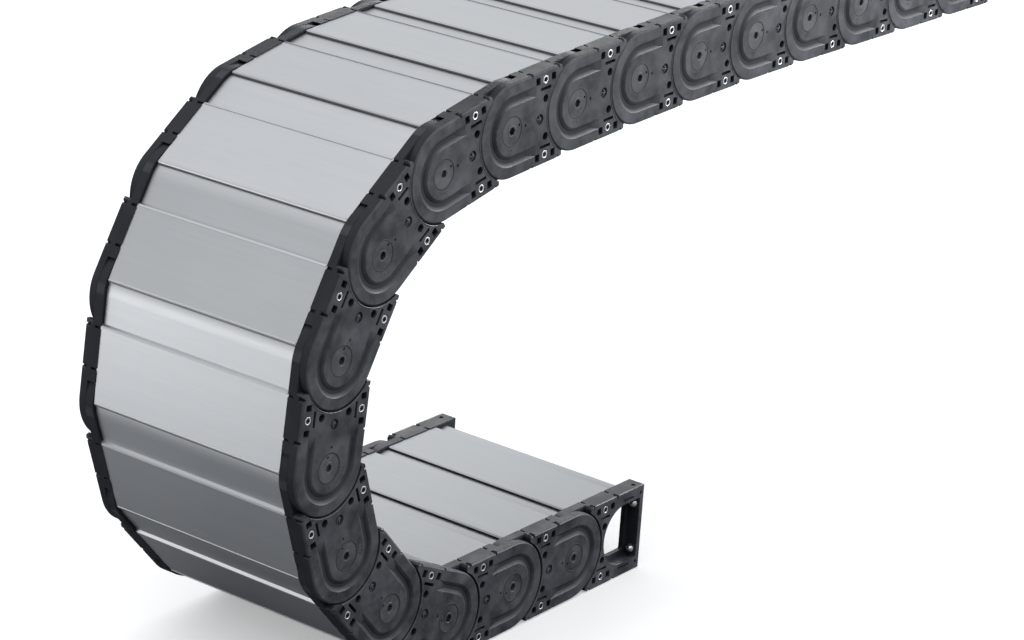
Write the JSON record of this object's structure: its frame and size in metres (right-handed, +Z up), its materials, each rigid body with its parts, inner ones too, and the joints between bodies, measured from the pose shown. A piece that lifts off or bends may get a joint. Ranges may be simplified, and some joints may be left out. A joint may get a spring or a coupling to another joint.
{
  "type": "cable drag chain",
  "caption": "Closed cable carrier laid in a U: moulded link plates on pivot pins, extruded aluminium covers inside and outside, and end brackets with bolt holes.",
  "frame": {"origin": "centre of the four-hole pattern in the fixed bracket's end face", "axes": "+Z up, +X out of the fixed end face and along the upper run towards the moving end, Y across the chain"},
  "size_m": [1.69, 0.347, 0.769],
  "materials": {
    "plates": "glass-filled moulding, semi-matt, anthracite",
    "brackets": "glass-filled moulding, semi-matt, anthracite",
    "covers": "extruded, satin anodised, fine lines across the chain",
    "pins_and_screws": "moulded pins in the plates' colour, bright steel screws",
    "steel": "zinc-plated screws and domed nuts"
  },
  "bodies": {
    "fixed_end": {"fixed_end_brackets": "brackets", "fixed_end_covers": "covers", "fixed_end_fasteners": "steel"},
    "link_01": {"link_01_side_plates": "plates", "link_01_covers": "covers", "link_01_fasteners": "pins_and_screws"},
    "link_02": {"link_02_side_plates": "plates", "link_02_covers": "covers", "link_02_fasteners": "pins_and_screws"},
    "link_03": {"link_03_side_plates": "plates", "link_03_covers": "covers", "link_03_fasteners": "pins_and_screws"},
    "link_04": {"link_04_side_plates": "plates", "link_04_covers": "covers", "link_04_fasteners": "pins_and_screws"},
    "link_05": {"link_05_side_plates": "plates", "link_05_covers": "covers", "link_05_fasteners": "pins_and_screws"},
    "link_06": {"link_06_side_plates": "plates", "link_06_covers": "covers", "link_06_fasteners": "pins_and_screws"},
    "link_07": {"link_07_side_plates": "plates", "link_07_covers": "covers", "link_07_fasteners": "pins_and_screws"},
    "link_08": {"link_08_side_plates": "plates", "link_08_covers": "covers", "link_08_fasteners": "pins_and_screws"},
    "link_09": {"link_09_side_plates": "plates", "link_09_covers": "covers", "link_09_fasteners": "pins_and_screws"},
    "link_10": {"link_10_side_plates": "plates", "link_10_covers": "covers", "link_10_fasteners": "pins_and_screws"},
    "link_11": {"link_11_side_plates": "plates", "link_11_covers": "covers", "link_11_fasteners": "pins_and_screws"},
    "link_12": {"link_12_side_plates": "plates", "link_12_covers": "covers", "link_12_fasteners": "pins_and_screws"},
    "link_13": {"link_13_side_plates": "plates", "link_13_covers": "covers", "link_13_fasteners": "pins_and_screws"},
    "link_14": {"link_14_side_plates": "plates", "link_14_covers": "covers", "link_14_fasteners": "pins_and_screws"},
    "link_15": {"link_15_side_plates": "plates", "link_15_covers": "covers", "link_15_fasteners": "pins_and_screws"},
    "link_16": {"link_16_side_plates": "plates", "link_16_covers": "covers", "link_16_fasteners": "pins_and_screws"},
    "link_17": {"link_17_side_plates": "plates", "link_17_covers": "covers", "link_17_fasteners": "pins_and_screws"},
    "link_18": {"link_18_side_plates": "plates", "link_18_covers": "covers", "link_18_fasteners": "pins_and_screws"},
    "moving_end": {"moving_end_brackets": "brackets", "moving_end_covers": "covers", "moving_end_fasteners": "pins_and_screws"}
  },
  "joints": [
    {"name": "link_01_hinge", "type": "hinge", "parent": "fixed_end", "child": "link_01", "pos_m": [-0.15, 0, 0], "axis": [0, -1, 0], "range_deg": [-24, 0]},
    {"name": "link_02_hinge", "type": "hinge", "parent": "link_01", "child": "link_02", "pos_m": [-0.28, 0, 0], "axis": [0, -1, 0], "range_deg": [-24, 0]},
    {"name": "link_03_hinge", "type": "hinge", "parent": "link_02", "child": "link_03", "pos_m": [-0.41, 0, 0], "axis": [0, -1, 0], "range_deg": [0, 24]},
    {"name": "link_04_hinge", "type": "hinge", "parent": "link_03", "child": "link_04", "pos_m": [-0.52876, 0, 0.05288], "axis": [0, -1, 0], "range_deg": [0, 24]},
    {"name": "link_05_hinge", "type": "hinge", "parent": "link_04", "child": "link_05", "pos_m": [-0.61575, 0, 0.14949], "axis": [0, -1, 0], "range_deg": [0, 24]},
    {"name": "link_06_hinge", "type": "hinge", "parent": "link_05", "child": "link_06", "pos_m": [-0.65592, 0, 0.27312], "axis": [0, -1, 0], "range_deg": [0, 24]},
    {"name": "link_07_hinge", "type": "hinge", "parent": "link_06", "child": "link_07", "pos_m": [-0.64233, 0, 0.40241], "axis": [0, -1, 0], "range_deg": [0, 24]},
    {"name": "link_08_hinge", "type": "hinge", "parent": "link_07", "child": "link_08", "pos_m": [-0.57733, 0, 0.51499], "axis": [0, -1, 0], "range_deg": [0, 24]},
    {"name": "link_09_hinge", "type": "hinge", "parent": "link_08", "child": "link_09", "pos_m": [-0.47216, 0, 0.5914], "axis": [0, 1, 0], "range_deg": [-24, 0]},
    {"name": "link_10_hinge", "type": "hinge", "parent": "link_09", "child": "link_10", "pos_m": [-0.345, 0, 0.61843], "axis": [0, 1, 0], "range_deg": [-7.5, 16.5]},
    {"name": "link_11_hinge", "type": "hinge", "parent": "link_10", "child": "link_11", "pos_m": [-0.2154, 0, 0.62863], "axis": [0, 1, 0], "range_deg": [-0.9, 23.1]},
    {"name": "link_12_hinge", "type": "hinge", "parent": "link_11", "child": "link_12", "pos_m": [-0.08566, 0, 0.6368], "axis": [0, 1, 0], "range_deg": [-0.9, 23.1]},
    {"name": "link_13_hinge", "type": "hinge", "parent": "link_12", "child": "link_13", "pos_m": [0.0442, 0, 0.64292], "axis": [0, 1, 0], "range_deg": [-0.9, 23.1]},
    {"name": "link_14_hinge", "type": "hinge", "parent": "link_13", "child": "link_14", "pos_m": [0.17413, 0, 0.647], "axis": [0, 1, 0], "range_deg": [-0.9, 23.1]},
    {"name": "link_15_hinge", "type": "hinge", "parent": "link_14", "child": "link_15", "pos_m": [0.30412, 0, 0.64904], "axis": [0, 1, 0], "range_deg": [-0.9, 23.1]},
    {"name": "link_16_hinge", "type": "hinge", "parent": "link_15", "child": "link_16", "pos_m": [0.43412, 0, 0.64904], "axis": [0, 1, 0], "range_deg": [0, 24]},
    {"name": "link_17_hinge", "type": "hinge", "parent": "link_16", "child": "link_17", "pos_m": [0.56412, 0, 0.64904], "axis": [0, 1, 0], "range_deg": [0, 24]},
    {"name": "link_18_hinge", "type": "hinge", "parent": "link_17", "child": "link_18", "pos_m": [0.69412, 0, 0.64904], "axis": [0, 1, 0], "range_deg": [0, 24]},
    {"name": "moving_end_hinge", "type": "hinge", "parent": "link_18", "child": "moving_end", "pos_m": [0.82412, 0, 0.64904], "axis": [0, 1, 0], "range_deg": [0, 24]}
  ]
}
